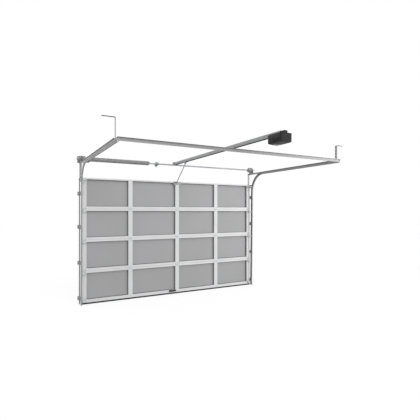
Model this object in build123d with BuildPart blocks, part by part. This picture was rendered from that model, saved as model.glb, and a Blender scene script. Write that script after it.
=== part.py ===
from build123d import *
from math import atan2, cos, degrees, hypot, sin
import os

# A closed sectional garage door seen from inside the garage: +X is to the right, +Y is
# towards the street and Y = 0 is the inside face of the wall. The origin is the middle of the
# back of the header bracket of the opener, on the centre line of the door. Heights in the
# names below are above the floor, and level() turns them into Z.

SHEET = 3.0              # steel plate of the brackets and angles
SCREW_R = 4.5            # holes for the screws into the wall and the ceiling

# Curtain
DOOR_W = 3490.0
SECTIONS = 4
SECTION_PITCH = 533.0
SECTION_GAP = 2.0
DOOR_T = 51.0
WALL_GAP = 12.0          # wall to the outer face of the curtain
RAIL_H = 38.0
TOP_RAIL_H = 26.0
STILE_W = 76.0
STILE_X = (-900.0, 25.0, 893.0)
PANEL_T = 5.0
PANEL_LIP = 3.0          # frame left outside the panel
PANEL_BITE = 8.0         # how far a panel stands in its groove
GROOVE_SPARE = 1.5
TONGUE_W = 14.0
TONGUE_H = 8.0
TONGUE_SPARE = 1.0
SEAL_H = 31.0
RETAINER_H = 14.0
RETAINER_T = 2.0
SEAL_T = 4.0
HANDLE_X = -75.0
HANDLE_W = 150.0

# Hinges and rollers
LEAF_T = 2.5
LEAF_H = 42.0
HINGE_W = 60.0
KNUCKLE_R = 6.0
PIN_R = 3.0
PIN_END = 2.0
KNUCKLE_GAP = 1.0
END_LEAF_H = 82.0
ROLLER_DROP = 50.0       # roller axis below a joint
TOP_ROLLER_DROP = 48.0   # and below the top of the curtain
TUBE_R = 9.0
STEM_R = 5.5
FLATS = 12               # sides of the small round parts that repeat, to keep them light
WHEEL_R = 23.0
WHEEL_W = 12.0

# Tracks
TRACK_GAP = 6.0          # edge of the curtain to the lips of the track
TRACK_D = 20.0
TRACK_W = 54.0
TRACK_T = 2.0
TRACK_LIP = 9.0
TRACK_BEND = 3.0
TRACK_START_H = 5.0
TRACK_FOOT_Y = -97.0     # the track leans away from the wall as it rises
CURVE_START_Y = -128.0
CURVE_DROP = 153.0       # start of the curve below the top of the curtain
CURVE_R = 381.0
TRACK_REAR_Y = -2480.0
ANGLE_W = 35.0           # height of the angle that stiffens the horizontal track
ANGLE_TOP_W = 16.0       # its leg outwards
WALL_FLANGE_W = 16.0     # leg of the wall angle on the wall
WALL_LEG = 22.0          # and the leg that stands off it
FOOT_W = 22.0            # feet of the brackets, outwards on the wall
WALL_SCREWS = 4
WALL_SCREW_END = 200.0   # last screws to the ends of the wall angle
BRACKET_H = (110.0, 718.0, 1330.0, 1900.0)
BRACKET_TALL = 66.0
FLAG_DROP = 71.0         # flag bracket below and above the top of the curtain
FLAG_RISE = 131.0
FLAG_LAP = 7.0           # how far it reaches behind the curtain
CLIP_L = 80.0
HANGER_Y = -2404.0
HANGER_W = 38.0
HANGER_RIB = 12.0
HANGER_RISE = 263.0      # ceiling above the middle of the track
HANGER_PITCH = 50.0
HANGER_FOOT = 155.0
BAR_W = 42.0             # rear bar, and its top above the middle of the track
BAR_RISE = 25.0

# Counterbalance
SHAFT_Y = -86.0
SHAFT_RISE = 62.2        # axis above the horizontal angle
SHAFT_R = 12.7
SHAFT_BORE_R = 10.3
SHAFT_LEFT_X = -1835.0
SHAFT_RIGHT_X = 1850.0
DRUM_R = 50.0
DRUM_W = 75.0
DRUM_HUB = 18.0
DRUM_BARE = 20.0         # plain part of the drum beside its grooves
GROOVES = 5
GROOVE_PITCH = 10.0
GROOVE_DEEP = 3.0
CABLE_R = 1.6
SPRING_X = -1592.0
SPRING_LENGTH = 1000.0
SPRING_R = 38.5
WIRE_D = 6.0
BEARING_X = -385.0

# Opener
RAIL_W = 40.0
RAIL_DEPTH = 44.0
RAIL_T = 2.0
RAIL_CLEAR = 2.0         # rail over the shaft
TROLLEY_Y = -490.0
MOTOR_W = 178.0
MOTOR_FRONT_Y = -2996.0
MOTOR_L = 254.0
MOTOR_DEPTH = 107.0
RAIL_NEST = 8.0          # how deep the rail lies in the top of the motor head


# Heights that follow from those sizes, from the floor up to the header bracket.
FIRST_H = SEAL_H + RETAINER_H
SECTION_TOP_H = FIRST_H + SECTIONS * SECTION_PITCH - SECTION_GAP
CURVE_START_H = SECTION_TOP_H - CURVE_DROP
LEAN = atan2(TRACK_FOOT_Y - CURVE_START_Y, CURVE_START_H - TRACK_START_H)
CURVE_Y = CURVE_START_Y - CURVE_R * cos(LEAN)
CURVE_H = CURVE_START_H - CURVE_R * sin(LEAN)
TRACK_H = CURVE_H + CURVE_R
ANGLE_TOP_H = TRACK_H + TRACK_W / 2 + SHEET
ANGLE_LOW_H = ANGLE_TOP_H - ANGLE_W
FLAG_LOW_H = SECTION_TOP_H - FLAG_DROP
WALL_ANGLE_TOP_H = FLAG_LOW_H - 4
SHAFT_H = ANGLE_TOP_H + SHAFT_RISE
HEADER_H = SHAFT_H + SHAFT_R + RAIL_CLEAR + RAIL_DEPTH / 2
CEILING_H = TRACK_H + HANGER_RISE


def level(height):
    return height - HEADER_H


def save(piece, name):
    piece.part.label = name
    export_step(piece.part, f"parts/{name}.step")


os.makedirs("parts", exist_ok=True)

OUTER_Y = -WALL_GAP
INNER_Y = OUTER_Y - DOOR_T
MID_Y = (OUTER_Y + INNER_Y) / 2
PANEL_Y = OUTER_Y - PANEL_LIP - PANEL_T / 2
EDGE_X = DOOR_W / 2
MOTOR_REAR_Y = MOTOR_FRONT_Y - MOTOR_L
GROOVE_D = PANEL_BITE + GROOVE_SPARE

stile_spans = [(-EDGE_X, -EDGE_X + STILE_W + 2)]
stile_spans += [(x - STILE_W / 2, x + STILE_W / 2) for x in STILE_X]
stile_spans += [(EDGE_X - STILE_W - 2, EDGE_X)]


def box_between(x0, x1, y0, y1, z0, z1, mode=Mode.ADD):
    with Locations(((x0 + x1) / 2, (y0 + y1) / 2, (z0 + z1) / 2)):
        Box(abs(x1 - x0), abs(y1 - y0), abs(z1 - z0), mode=mode)


def wall_holes(x_places, z_places):
    with Locations(*[(x, -SHEET, z) for x in x_places for z in z_places]):
        Cylinder(SCREW_R, 4 * SHEET, rotation=(90, 0, 0), mode=Mode.SUBTRACT)


# The four sections. Each is a frame of two rails and five stiles round four grey panels, which
# stand in a groove near the outer face. A tongue on each top rail enters the rail above it.
for number in range(1, SECTIONS + 1):
    low = level(FIRST_H + (number - 1) * SECTION_PITCH)
    high = low + SECTION_PITCH - SECTION_GAP
    top_h = TOP_RAIL_H if number == SECTIONS else RAIL_H

    with BuildPart() as rails:
        with BuildSketch(Plane.YZ.offset(-EDGE_X)):
            with Locations((MID_Y, low + RAIL_H / 2)):
                Rectangle(DOOR_T, RAIL_H)
            with Locations((MID_Y, low)):
                Rectangle(TONGUE_W + 2 * TONGUE_SPARE, 2 * (TONGUE_H - SECTION_GAP + TONGUE_SPARE),
                          mode=Mode.SUBTRACT)
            with Locations((PANEL_Y, low + RAIL_H)):
                Rectangle(PANEL_T, 2 * GROOVE_D, mode=Mode.SUBTRACT)
            with Locations((MID_Y, high - top_h / 2)):
                Rectangle(DOOR_T, top_h)
            with Locations((PANEL_Y, high - top_h)):
                Rectangle(PANEL_T, 2 * GROOVE_D, mode=Mode.SUBTRACT)
            if number < SECTIONS:
                with Locations((MID_Y, high + TONGUE_H / 2)):
                    Rectangle(TONGUE_W, TONGUE_H)
        extrude(amount=DOOR_W)
    save(rails, f"section_{number}_rails")

    stile_low = low + RAIL_H
    stile_high = high - top_h
    with BuildPart() as stiles:
        for left, right in stile_spans:
            box_between(left, right, INNER_Y, OUTER_Y, stile_low, stile_high)
        for left, right in zip(stile_spans[:-1], stile_spans[1:]):
            box_between(left[1] - GROOVE_D, right[0] + GROOVE_D, PANEL_Y - PANEL_T / 2,
                        PANEL_Y + PANEL_T / 2, stile_low, stile_high, Mode.SUBTRACT)
    save(stiles, f"section_{number}_stiles")

    with BuildPart() as panels:
        for left, right in zip(stile_spans[:-1], stile_spans[1:]):
            box_between(left[1] - PANEL_BITE, right[0] + PANEL_BITE, PANEL_Y - PANEL_T / 2,
                        PANEL_Y + PANEL_T / 2, stile_low - PANEL_BITE, stile_high + PANEL_BITE)
    save(panels, f"section_{number}_panels")

# The retainer is a channel under the lowest rail, and holds the rubber seal that meets the floor.
with BuildPart() as seal_retainer:
    with BuildSketch(Plane.YZ.offset(-EDGE_X)):
        with Locations((MID_Y, level(FIRST_H - RETAINER_H / 2))):
            Rectangle(DOOR_T, RETAINER_H)
        with Locations((MID_Y, level(SEAL_H))):
            Rectangle(DOOR_T - 2 * RETAINER_T, 2 * (RETAINER_H - RETAINER_T), mode=Mode.SUBTRACT)
    extrude(amount=DOOR_W)
save(seal_retainer, "seal_retainer")

SEAL_W = DOOR_T - 2 * RETAINER_T
with BuildPart() as bottom_seal:
    with BuildSketch(Plane.YZ.offset(-EDGE_X)) as seal_profile:
        with Locations((MID_Y, level((FIRST_H - RETAINER_T) / 2))):
            Rectangle(SEAL_W, FIRST_H - RETAINER_T)
        fillet(seal_profile.vertices().group_by(Axis.Y)[0], radius=SEAL_W * 0.36)
        offset(amount=-SEAL_T, mode=Mode.SUBTRACT)
    extrude(amount=DOOR_W)
save(bottom_seal, "bottom_seal")

# Lift handle, a black grip on two feet at the middle of the lowest rail.
with BuildPart() as lift_handle:
    handle_z = level(FIRST_H + RAIL_H / 2)
    box_between(HANDLE_X - HANDLE_W / 2, HANDLE_X + HANDLE_W / 2, INNER_Y - 3, INNER_Y,
                handle_z - 17, handle_z + 17)
    with BuildSketch(Plane.XY.offset(handle_z - 8)):
        with Locations((HANDLE_X, INNER_Y - 21)):
            Rectangle(HANDLE_W - 20, 36)
            Rectangle(HANDLE_W - 44, 16, mode=Mode.SUBTRACT)
        with Locations((HANDLE_X, INNER_Y - 6)):
            Rectangle(HANDLE_W - 44, 20, mode=Mode.SUBTRACT)
    extrude(amount=16)
save(lift_handle, "lift_handle")


def roller_y(height):
    """Where the axis of a roller is at a height: up the leaning line, then round the curve."""
    if height > CURVE_START_H:
        return CURVE_Y + (CURVE_R ** 2 - (height - CURVE_H) ** 2) ** 0.5
    share = (height - TRACK_START_H) / (CURVE_START_H - TRACK_START_H)
    return TRACK_FOOT_Y + share * (CURVE_START_Y - TRACK_FOOT_Y)


PIN_Y = INNER_Y - KNUCKLE_R - 1
JOINT_H = [FIRST_H + n * SECTION_PITCH - SECTION_GAP / 2 for n in range(1, SECTIONS)]


def hinge(x, joint, low_leaf):
    """Two leaves whose knuckles close up on one pin, on the inner face at one joint."""
    z = level(joint)
    with BuildPart() as lower:
        box_between(x - HINGE_W / 2, x + HINGE_W / 2, INNER_Y - LEAF_T, INNER_Y,
                    z - low_leaf, z - KNUCKLE_R - 1)
        for side in (-1, 1):
            with BuildSketch(Plane.YZ.offset(x + side * HINGE_W / 3 - HINGE_W / 6 + KNUCKLE_GAP / 2)):
                with Locations((PIN_Y, z)):
                    RegularPolygon(KNUCKLE_R, FLATS)
                with Locations((INNER_Y - LEAF_T / 2, z - KNUCKLE_R)):
                    Rectangle(LEAF_T, 2 * KNUCKLE_R)
            extrude(amount=HINGE_W / 3 - KNUCKLE_GAP)
    with BuildPart() as upper:
        box_between(x - HINGE_W / 2, x + HINGE_W / 2, INNER_Y - LEAF_T, INNER_Y,
                    z + KNUCKLE_R + 1, z + LEAF_H)
        with BuildSketch(Plane.YZ.offset(x - HINGE_W / 6 + KNUCKLE_GAP / 2)):
            with Locations((PIN_Y, z)):
                RegularPolygon(KNUCKLE_R, FLATS)
            with Locations((INNER_Y - LEAF_T / 2, z + KNUCKLE_R)):
                Rectangle(LEAF_T, 2 * KNUCKLE_R)
        extrude(amount=HINGE_W / 3 - KNUCKLE_GAP)
    with BuildPart() as pin:
        with BuildSketch(Plane.YZ.offset(x - HINGE_W / 2 - PIN_END)):
            with Locations((PIN_Y, z)):
                RegularPolygon(PIN_R, FLATS)
        extrude(amount=HINGE_W + 2 * PIN_END)
    return lower.part + upper.part + pin.part


def roller_tube(x0, x1, height, face_y):
    """The tube that a roller's stem turns in, held off the leaf by two cheeks."""
    y, z = roller_y(height), level(height)
    with BuildPart() as carrier:
        with BuildSketch(Plane.YZ.offset(x0)):
            with Locations((y, z)):
                RegularPolygon(TUBE_R, FLATS)
        extrude(amount=x1 - x0)
        for x in (x0, x1 - SHEET):
            with BuildSketch(Plane.YZ.offset(x)):
                with Locations(((y + face_y) / 2, z)):
                    Rectangle(abs(y - face_y), 2 * TUBE_R)
            extrude(amount=SHEET)
        with BuildSketch(Plane.YZ.offset(x0)):
            with Locations((y, z)):
                RegularPolygon(STEM_R, FLATS)
        extrude(amount=x1 - x0, mode=Mode.SUBTRACT)
    return carrier.part


# Centre hinges, three across at each joint.
with BuildPart() as centre_hinges:
    for joint in JOINT_H:
        for x in STILE_X:
            add(hinge(x, joint, LEAF_H))
save(centre_hinges, "centre_hinges")

# End hinges carry the rollers. Their cheeks grow from joint to joint as the track leans away.
END_X = EDGE_X - (STILE_W + 2) / 2
TUBE_X0 = EDGE_X - 66
TUBE_X1 = EDGE_X - 4
with BuildPart() as end_hinges:
    for joint in JOINT_H:
        add(hinge(END_X, joint, END_LEAF_H))
        add(roller_tube(TUBE_X0, TUBE_X1, joint - ROLLER_DROP, INNER_Y - LEAF_T))
    mirror(about=Plane.YZ)
save(end_hinges, "end_hinges")

# Bottom brackets wrap the lower corners and hold the lowest rollers and the cable pins.
BOTTOM_ROLLER_H = FIRST_H + 25
CABLE_X = EDGE_X + 11
CABLE_PIN_Y = -44.0
CABLE_PIN_H = 82.0
with BuildPart() as bottom_brackets:
    box_between(EDGE_X - 78, EDGE_X + SHEET, INNER_Y - SHEET, INNER_Y,
                level(FIRST_H), level(FIRST_H + 90))
    box_between(EDGE_X, EDGE_X + SHEET, INNER_Y - SHEET, CABLE_PIN_Y + 16,
                level(FIRST_H), level(FIRST_H + 90))
    with BuildSketch(Plane.YZ.offset(EDGE_X + SHEET)):
        with Locations((CABLE_PIN_Y, level(CABLE_PIN_H))):
            Circle(5)
    extrude(amount=14)
    add(roller_tube(TUBE_X0, TUBE_X1, BOTTOM_ROLLER_H, INNER_Y - SHEET))
    mirror(about=Plane.YZ)
save(bottom_brackets, "bottom_brackets")

# Top brackets, near the upper corners, where the track starts to curve.
TOP_ROLLER_H = SECTION_TOP_H - TOP_ROLLER_DROP
with BuildPart() as top_brackets:
    box_between(EDGE_X - 70, EDGE_X - 2, INNER_Y - SHEET, INNER_Y,
                level(SECTION_TOP_H - 120), level(SECTION_TOP_H - 8))
    add(roller_tube(TUBE_X0, TUBE_X1, TOP_ROLLER_H, INNER_Y - SHEET))
    mirror(about=Plane.YZ)
save(top_brackets, "top_brackets")

# Rollers: a wheel inside the track on a stem that reaches through its tube.
ROLLER_HEIGHTS = [BOTTOM_ROLLER_H] + [h - ROLLER_DROP for h in JOINT_H] + [TOP_ROLLER_H]
TRACK_X = EDGE_X + TRACK_GAP
WEB_X = TRACK_X + TRACK_D
with BuildPart() as rollers:
    for height in ROLLER_HEIGHTS:
        with BuildSketch(Plane.YZ.offset(TUBE_X0 - 4)):
            with Locations((roller_y(height), level(height))):
                RegularPolygon(STEM_R, FLATS)
        extrude(amount=WEB_X - TRACK_T - 3 - TUBE_X0)
        with BuildSketch(Plane.YZ.offset(TRACK_X + 4)):
            with Locations((roller_y(height), level(height))):
                Circle(WHEEL_R)
        extrude(amount=WHEEL_W)
    mirror(about=Plane.YZ)
save(rollers, "rollers")


# The track is one rolled channel with a deep lip on the room side, open towards the curtain.
def track_plane(y, height, direction_y, direction_z):
    return Plane(origin=(TRACK_X, y, level(height)), x_dir=(1, 0, 0),
                 z_dir=(0, direction_y, direction_z))


def track_profile(plane):
    with BuildSketch(plane) as profile:
        with BuildSketch(mode=Mode.PRIVATE) as inside:
            with Locations((TRACK_D / 2, 0)):
                Rectangle(TRACK_D - 2 * TRACK_T, TRACK_W - 2 * TRACK_T)
            chamfer(inside.vertices(), TRACK_BEND)
        with Locations((TRACK_D / 2, 0)):
            Rectangle(TRACK_D, TRACK_W)
        chamfer(profile.vertices(), TRACK_BEND + TRACK_T / 2)
        add(inside.sketch, mode=Mode.SUBTRACT)
        with Locations((0, 1)):
            Rectangle(4 * TRACK_T, TRACK_W - 2 * TRACK_LIP, mode=Mode.SUBTRACT)
    return profile.sketch


with BuildPart() as vertical_tracks:
    extrude(track_profile(track_plane(TRACK_FOOT_Y, TRACK_START_H, -sin(LEAN), cos(LEAN))),
            amount=hypot(CURVE_START_H - TRACK_START_H, CURVE_START_Y - TRACK_FOOT_Y))
    mirror(about=Plane.YZ)
save(vertical_tracks, "vertical_tracks")

with BuildPart() as curved_tracks:
    revolve(track_profile(track_plane(CURVE_START_Y, CURVE_START_H, -sin(LEAN), cos(LEAN))),
            axis=Axis((0, CURVE_Y, level(CURVE_H)), (1, 0, 0)),
            revolution_arc=90 - degrees(LEAN))
    mirror(about=Plane.YZ)
save(curved_tracks, "curved_tracks")

with BuildPart() as horizontal_tracks:
    extrude(track_profile(track_plane(CURVE_Y, TRACK_H, -1, 0)), amount=CURVE_Y - TRACK_REAR_Y)
    mirror(about=Plane.YZ)
save(horizontal_tracks, "horizontal_tracks")

# Wall angles run up both sides of the opening. One leg lies on the wall, one stands off it.
with BuildPart() as wall_angles:
    box_between(WEB_X - SHEET, WEB_X - SHEET + WALL_FLANGE_W, -SHEET, 0,
                level(TRACK_START_H), level(WALL_ANGLE_TOP_H))
    box_between(WEB_X - SHEET, WEB_X, -WALL_LEG, 0,
                level(TRACK_START_H), level(WALL_ANGLE_TOP_H))
    screw_low = level(TRACK_START_H + WALL_SCREW_END)
    screw_step = (level(WALL_ANGLE_TOP_H - WALL_SCREW_END) - screw_low) / (WALL_SCREWS - 1)
    wall_holes([WEB_X + (WALL_FLANGE_W - SHEET) / 2], [screw_low + n * screw_step for n in range(WALL_SCREWS)])
    mirror(about=Plane.YZ)
save(wall_angles, "wall_angles")


def track_plate(height, start_y):
    """The outline of a plate from the wall to the back of the track, with slots for its bolts."""
    back = roller_y(height) - 12
    with BuildSketch(Plane.YZ.offset(WEB_X)) as plate:
        with Locations(((back + start_y) / 2, level(height))):
            Rectangle(start_y - back, BRACKET_TALL)
        chamfer(plate.vertices().group_by(Axis.X)[0], 7)
        with Locations((-SHEET - WALL_LEG / 2, level(height)), (roller_y(height), level(height))):
            Rectangle(8, 16, mode=Mode.SUBTRACT)
    return plate.sketch


# Track brackets lap over the wall angle and the back of the track. Their feet are turned
# outwards over the leg on the wall.
with BuildPart() as track_brackets:
    for height in BRACKET_H:
        extrude(track_plate(height, -SHEET), amount=SHEET)
        box_between(WEB_X, WEB_X + FOOT_W, -2 * SHEET, -SHEET,
                    level(height - BRACKET_TALL / 2), level(height + BRACKET_TALL / 2))
    mirror(about=Plane.YZ)
save(track_brackets, "track_brackets")

# Flag brackets: a strip up the wall above the wall angle, with a plate to the start of the
# curve. Above each is the clip that ties the angle of the horizontal track to the wall.
FLAG_X = EDGE_X - FLAG_LAP
FLAG_TOP_H = SECTION_TOP_H + FLAG_RISE
with BuildPart() as flag_brackets:
    extrude(track_plate(FLAG_LOW_H + BRACKET_TALL / 2, 0), amount=SHEET)
    box_between(FLAG_X, WEB_X + SHEET, -SHEET, 0, level(FLAG_LOW_H), level(FLAG_TOP_H))
    box_between(WEB_X, WEB_X + WALL_FLANGE_W - SHEET, -SHEET, 0,
                level(FLAG_LOW_H), level(FLAG_LOW_H + BRACKET_TALL))
    box_between(FLAG_X, WEB_X + 2 * SHEET, -SHEET, 0, level(ANGLE_LOW_H), level(ANGLE_TOP_H) - SHEET)
    box_between(WEB_X + SHEET, WEB_X + 2 * SHEET, -CLIP_L, 0,
                level(ANGLE_LOW_H), level(ANGLE_TOP_H) - SHEET)
    wall_holes([FLAG_X + 16], [level(FLAG_TOP_H - 100), level(FLAG_TOP_H - 20),
                               level(ANGLE_TOP_H - ANGLE_W / 2)])
    mirror(about=Plane.YZ)
save(flag_brackets, "flag_brackets")

with BuildPart() as horizontal_angles:
    box_between(WEB_X, WEB_X + SHEET, TRACK_REAR_Y + 110, -SHEET, level(ANGLE_LOW_H), level(ANGLE_TOP_H))
    box_between(WEB_X, WEB_X + ANGLE_TOP_W, TRACK_REAR_Y + 110, -SHEET,
                level(ANGLE_TOP_H) - SHEET, level(ANGLE_TOP_H))
    mirror(about=Plane.YZ)
save(horizontal_angles, "horizontal_angles")

# Rear hangers: a punched angle from the end of each track up to the ceiling, whose wide leg is
# bent outwards there as a foot.
with BuildPart() as rear_hangers:
    with BuildSketch(Plane.XZ.offset(-HANGER_Y - HANGER_W / 2)) as bend:
        with BuildLine():
            Polyline((WEB_X, level(TRACK_H - 20)), (WEB_X, level(CEILING_H)),
                     (WEB_X + HANGER_FOOT, level(CEILING_H)),
                     (WEB_X + HANGER_FOOT, level(CEILING_H - SHEET)),
                     (WEB_X + SHEET, level(CEILING_H - SHEET)),
                     (WEB_X + SHEET, level(TRACK_H - 20)), close=True)
        make_face()
        fillet(bend.vertices().sort_by_distance((WEB_X, level(CEILING_H), 0))[0], 13)
        fillet(bend.vertices().sort_by_distance((WEB_X + SHEET, level(CEILING_H - SHEET), 0))[0], 10)
    extrude(amount=HANGER_W)
    with BuildSketch(Plane.YZ.offset(WEB_X - SHEET)):
        slot_low = TRACK_H + TRACK_W / 2 + HANGER_PITCH / 2
        for n in range(int((CEILING_H - HANGER_PITCH - slot_low) / HANGER_PITCH) + 1):
            with Locations((HANGER_Y, level(slot_low + HANGER_PITCH * n))):
                Rectangle(7, 14)
    extrude(amount=3 * SHEET, mode=Mode.SUBTRACT)
    box_between(WEB_X, WEB_X + HANGER_RIB, HANGER_Y - HANGER_W / 2, HANGER_Y - HANGER_W / 2 + SHEET,
                level(ANGLE_TOP_H), level(CEILING_H) - HANGER_W / 2)
    with Locations((WEB_X + 60, HANGER_Y, level(CEILING_H)), (WEB_X + 130, HANGER_Y, level(CEILING_H))):
        Cylinder(SCREW_R, 4 * SHEET, mode=Mode.SUBTRACT)
    mirror(about=Plane.YZ)
save(rear_hangers, "rear_hangers")

with BuildPart() as rear_cross_bar:
    bar_x = WEB_X + SHEET
    box_between(-bar_x, bar_x, TRACK_REAR_Y - SHEET, TRACK_REAR_Y,
                level(TRACK_H + BAR_RISE - BAR_W), level(TRACK_H + BAR_RISE))
    box_between(-bar_x, bar_x, TRACK_REAR_Y - 30, TRACK_REAR_Y,
                level(TRACK_H + BAR_RISE) - SHEET, level(TRACK_H + BAR_RISE))
save(rear_cross_bar, "rear_cross_bar")

# Torsion shaft, its end plates with bearings, drums, spring, cones and middle bearing.
shaft_z = level(SHAFT_H)


def ring(x, width, outer, inner):
    with BuildSketch(Plane.YZ.offset(x)) as section:
        with Locations((SHAFT_Y, shaft_z)):
            Circle(outer)
            Circle(inner, mode=Mode.SUBTRACT)
    extrude(section.sketch, amount=width)


with BuildPart() as torsion_shaft:
    ring(SHAFT_LEFT_X, SHAFT_RIGHT_X - SHAFT_LEFT_X, SHAFT_R, SHAFT_BORE_R)
save(torsion_shaft, "torsion_shaft")

END_PLATE_X = WEB_X + 2 * SHEET
with BuildPart() as end_bearing_plates:
    with BuildSketch(Plane.YZ.offset(END_PLATE_X)) as plate:
        with BuildLine():
            Polyline((0, level(ANGLE_TOP_H)), (-150, level(ANGLE_TOP_H)), (-132, shaft_z + 20),
                     (-100, shaft_z + 54), (0, shaft_z + 54), close=True)
        make_face()
        with Locations((SHAFT_Y, shaft_z)):
            Circle(SHAFT_R, mode=Mode.SUBTRACT)
    extrude(amount=SHEET)
    box_between(END_PLATE_X, END_PLATE_X + ANGLE_W, -SHEET, 0, level(ANGLE_TOP_H), shaft_z + 54)
    ring(END_PLATE_X + SHEET, 14, 26, SHAFT_R)
    wall_holes([END_PLATE_X + (ANGLE_W + SHEET) / 2], [shaft_z - 30, shaft_z + 30])
    mirror(about=Plane.YZ)
save(end_bearing_plates, "end_bearing_plates")

DRUM_X = CABLE_X + 8 - DRUM_W
with BuildPart() as cable_drums:
    with BuildSketch(Plane.XY.offset(shaft_z)):
        with BuildLine():
            flank = [(DRUM_X + DRUM_BARE, DRUM_R - GROOVE_DEEP)]
            for n in range(GROOVES):
                flank += [(DRUM_X + DRUM_BARE + (n + 0.5) * GROOVE_PITCH, DRUM_R),
                          (DRUM_X + DRUM_BARE + (n + 1) * GROOVE_PITCH, DRUM_R - GROOVE_DEEP)]
            outline = [(DRUM_X - DRUM_HUB, SHAFT_R), (DRUM_X - DRUM_HUB, DRUM_R / 2), (DRUM_X, DRUM_R / 2),
                       (DRUM_X, DRUM_R - GROOVE_DEEP), *flank, (DRUM_X + DRUM_W - SHEET, DRUM_R + SHEET),
                       (DRUM_X + DRUM_W, DRUM_R + SHEET), (DRUM_X + DRUM_W, SHAFT_R)]
            Polyline(*[(x, SHAFT_Y + radius) for x, radius in outline], close=True)
        make_face()
    revolve(axis=Axis((0, SHAFT_Y, shaft_z), (1, 0, 0)))
    mirror(about=Plane.YZ)
save(cable_drums, "cable_drums")

with BuildPart() as torsion_spring:
    ring(SPRING_X, SPRING_LENGTH, SPRING_R, SPRING_R - WIRE_D)
save(torsion_spring, "torsion_spring")

with BuildPart() as stationary_cone:
    ring(SPRING_X - 22, 22, SPRING_R + 2, SHAFT_R)
    ring(SPRING_X, 40, SPRING_R - WIRE_D, SHAFT_R)
save(stationary_cone, "stationary_cone")

with BuildPart() as winding_cone:
    ring(SPRING_X + SPRING_LENGTH - 40, 40, SPRING_R - WIRE_D, SHAFT_R)
    ring(SPRING_X + SPRING_LENGTH, 12, SPRING_R + 2, SHAFT_R)
    ring(SPRING_X + SPRING_LENGTH + 12, 30, 25, SHAFT_R)
save(winding_cone, "winding_cone")

ANCHOR_X = SPRING_X - 22 - 2 * SHEET
with BuildPart() as spring_anchor_bracket:
    with BuildSketch(Plane.YZ.offset(ANCHOR_X + SHEET)):
        with Locations((SHAFT_Y / 2 - 22, shaft_z)):
            RectangleRounded(abs(SHAFT_Y) + 44, 84, 8)
        with Locations((SHAFT_Y, shaft_z)):
            Circle(SHAFT_R + 2, mode=Mode.SUBTRACT)
    extrude(amount=SHEET)
    box_between(ANCHOR_X - 40, ANCHOR_X + SHEET, -SHEET, 0, shaft_z - 50, shaft_z + 50)
    wall_holes([ANCHOR_X - 20], [shaft_z - 30, shaft_z + 30])
save(spring_anchor_bracket, "spring_anchor_bracket")

with BuildPart() as centre_bearing_bracket:
    with BuildSketch(Plane.YZ.offset(BEARING_X - SHEET / 2)):
        with Locations((SHAFT_Y / 2 - 15, shaft_z)):
            RectangleRounded(abs(SHAFT_Y) + 30, 56, 8)
        with Locations((SHAFT_Y, shaft_z)):
            Circle(SHAFT_R, mode=Mode.SUBTRACT)
    extrude(amount=SHEET)
    with BuildSketch(Plane.XZ) as diamond:
        with BuildLine():
            Polyline((BEARING_X - 42, shaft_z), (BEARING_X, shaft_z + 62), (BEARING_X + 42, shaft_z),
                     (BEARING_X, shaft_z - 62), close=True)
        make_face()
        fillet(diamond.vertices(), 10)
    extrude(amount=SHEET)
    ring(BEARING_X + SHEET / 2, 10, 22, SHAFT_R)
    wall_holes([BEARING_X], [shaft_z - 40, shaft_z + 40])
save(centre_bearing_bracket, "centre_bearing_bracket")

# Lift cables run straight from the back of each drum to the pin of the bottom bracket.
cable_top = (CABLE_X, SHAFT_Y + DRUM_R + CABLE_R, shaft_z)
cable_foot = (CABLE_X, CABLE_PIN_Y, level(CABLE_PIN_H) + 5)
with BuildPart() as lift_cables:
    span = Vector(*cable_top) - Vector(*cable_foot)
    with BuildSketch(Plane(origin=cable_foot, z_dir=span)):
        Circle(CABLE_R)
    extrude(amount=span.length)
    mirror(about=Plane.YZ)
save(lift_cables, "lift_cables")

# Header bracket of the opener: a plate on the wall with two ears that take the rail's pin.
with BuildPart() as header_bracket:
    box_between(-45, 45, -4, 0, -32, 32)
    for side in (-1, 1):
        box_between(side * RAIL_W / 2, side * (RAIL_W / 2 + SHEET), -62, -4, -22, 22)
    with BuildSketch(Plane.YZ.offset(-RAIL_W / 2 - SHEET - 4)):
        with Locations((-42, 0)):
            Circle(5)
    extrude(amount=RAIL_W + 2 * SHEET + 8)
    wall_holes([-33, 33], [0])
save(header_bracket, "header_bracket")

rail_top = RAIL_DEPTH / 2
with BuildPart() as opener_rail:
    with BuildSketch(Plane.XZ.offset(14)):
        Rectangle(RAIL_W, RAIL_DEPTH)
        Rectangle(RAIL_W - 2 * RAIL_T, RAIL_DEPTH - 2 * RAIL_T, mode=Mode.SUBTRACT)
        with Locations((0, -rail_top)):
            Rectangle(16, 3 * RAIL_T, mode=Mode.SUBTRACT)
    extrude(amount=-MOTOR_REAR_Y - 14 - 30)
    with BuildSketch(Plane.YZ.offset(-RAIL_W)):
        with Locations((-42, 0)):
            Circle(5)
    extrude(amount=2 * RAIL_W, mode=Mode.SUBTRACT)
save(opener_rail, "opener_rail")

# Trolley: a saddle under the rail that carries the arm.
TROLLEY_PIN_Z = -rail_top - 22
with BuildPart() as trolley:
    box_between(-RAIL_W / 2 - 8, RAIL_W / 2 + 8, TROLLEY_Y - 60, TROLLEY_Y + 60,
                -rail_top - 6, 4)
    box_between(-RAIL_W / 2, RAIL_W / 2, TROLLEY_Y - 60, TROLLEY_Y + 60,
                -rail_top, 4, Mode.SUBTRACT)
    for side in (-1, 1):
        box_between(side * 3, side * 9, TROLLEY_Y - 16, TROLLEY_Y + 16, TROLLEY_PIN_Z - 10, -rail_top - 6)
    with BuildSketch(Plane.YZ.offset(-14)):
        with Locations((TROLLEY_Y, TROLLEY_PIN_Z)):
            Circle(4)
    extrude(amount=28)
save(trolley, "trolley")

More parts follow.
